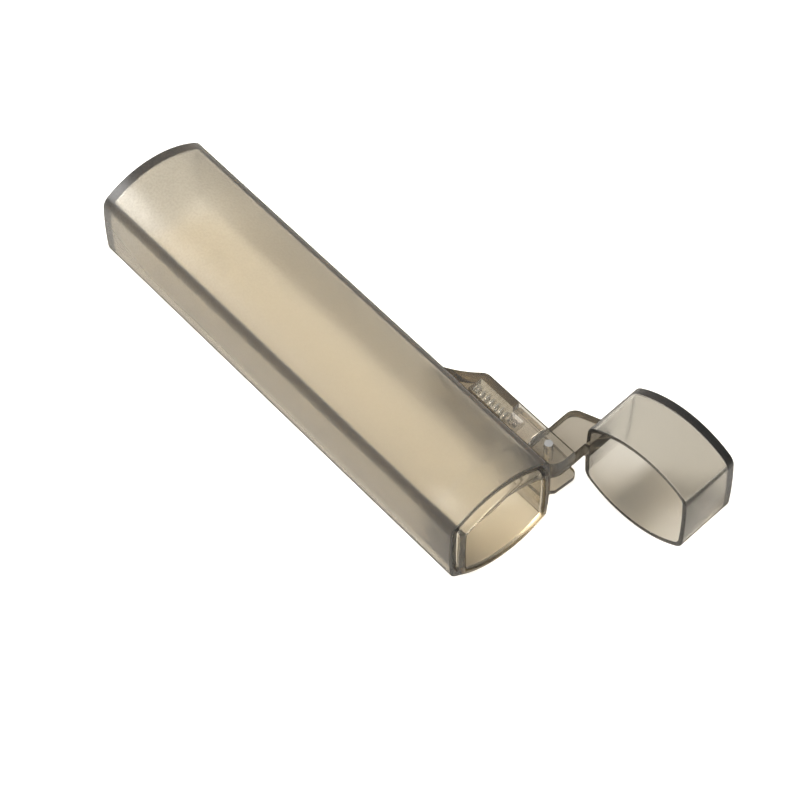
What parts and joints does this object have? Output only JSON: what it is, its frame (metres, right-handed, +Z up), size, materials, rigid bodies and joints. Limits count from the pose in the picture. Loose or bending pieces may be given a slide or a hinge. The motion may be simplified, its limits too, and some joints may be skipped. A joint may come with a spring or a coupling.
{
  "type": "toothpick case",
  "caption": "Translucent pocket case for toothpicks: a crowned tube with a glued-in neck collar and a flip cap on a pinned arm, held open or shut by a spring and plunger in a clear side housing.",
  "frame": {"origin": "centre of the closed end's flat outer face", "axes": "+X along the case from its closed end to its mouth, +Y across the width towards the hinge, +Z up through the thickness"},
  "size_m": [0.077, 0.0306, 0.0138],
  "materials": {
    "case_plastic": "translucent smoky brown, the outside of the case finely matt, the collar, the housing and the inside polished",
    "cap_plastic": "translucent smoky grey-brown, finely matt outside and polished inside",
    "plunger_plastic": "clear, faintly tinted",
    "pin_steel": "bright drawn steel with domed ends",
    "spring_steel": "bright spring wire"
  },
  "bodies": {
    "case": {"case_body": "case_plastic", "neck_collar": "case_plastic", "hinge_pin": "pin_steel", "plunger_spring": "spring_steel"},
    "cap": {"cap": "cap_plastic"},
    "plunger": {"plunger": "plunger_plastic"}
  },
  "joints": [
    {"name": "cap_hinge", "type": "hinge", "parent": "case", "child": "cap", "pos_m": [0.0597, 0.01015, 0], "axis": [0, 0, 1], "range_deg": [-94.8, 0]},
    {"name": "plunger_slide", "type": "slide", "parent": "case", "child": "plunger", "axis": [-1, 0, 0], "range_m": [0, 0.00035], "stiffness_N_per_m": 3000, "springref_m": -0.0004, "deforming": ["plunger_spring"]}
  ]
}
